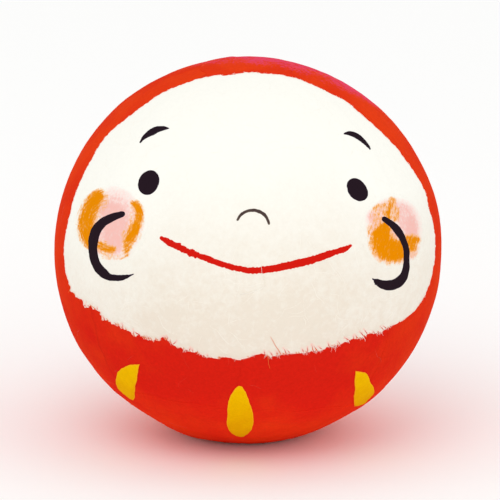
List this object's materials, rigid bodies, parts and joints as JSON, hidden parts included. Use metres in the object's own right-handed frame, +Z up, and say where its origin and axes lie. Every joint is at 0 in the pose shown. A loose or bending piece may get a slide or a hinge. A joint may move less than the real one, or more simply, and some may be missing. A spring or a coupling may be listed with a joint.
{
  "type": "daruma doll",
  "caption": "Round, hollow paper doll with a flat foot: red torn-paper covering, white face paper, yellow petals and a brushed smiling face.",
  "frame": {"origin": "centre of the flat foot, on the surface that the doll stands on", "axes": "+Z up through the ball's centre, -Y towards the front where the face looks out, +X towards the doll's left side"},
  "size_m": [0.09, 0.0902, 0.0885],
  "materials": {
    "papier_mache": "matte",
    "lining_paper": "matte",
    "clay": "matte",
    "card": "matte",
    "red_washi": "matte",
    "white_washi": "matte",
    "yellow_washi": "matte",
    "black_ink": "matte",
    "red_ink": "matte",
    "cheek_colour": "matte"
  },
  "bodies": {
    "root": {"upper_shell": "papier_mache", "lower_shell": "papier_mache", "seam_strip": "lining_paper", "base_weight": "clay", "weight_paper": "lining_paper", "foot_card": "card", "foot_patch": "red_washi", "red_strip_1": "red_washi", "red_strip_2": "red_washi", "red_strip_3": "red_washi", "red_strip_4": "red_washi", "red_strip_5": "red_washi", "red_strip_6": "red_washi", "red_strip_7": "red_washi", "crown_paper": "red_washi", "base_paper": "red_washi", "face_paper": "white_washi", "petal_left": "yellow_washi", "petal_middle": "yellow_washi", "petal_right": "yellow_washi", "brow_left": "black_ink", "brow_right": "black_ink", "eye_left": "black_ink", "eye_right": "black_ink", "nose": "black_ink", "mouth": "red_ink", "curl_left": "black_ink", "curl_right": "black_ink", "cheek_left": "cheek_colour", "cheek_right": "cheek_colour"}
  },
  "joints": []
}
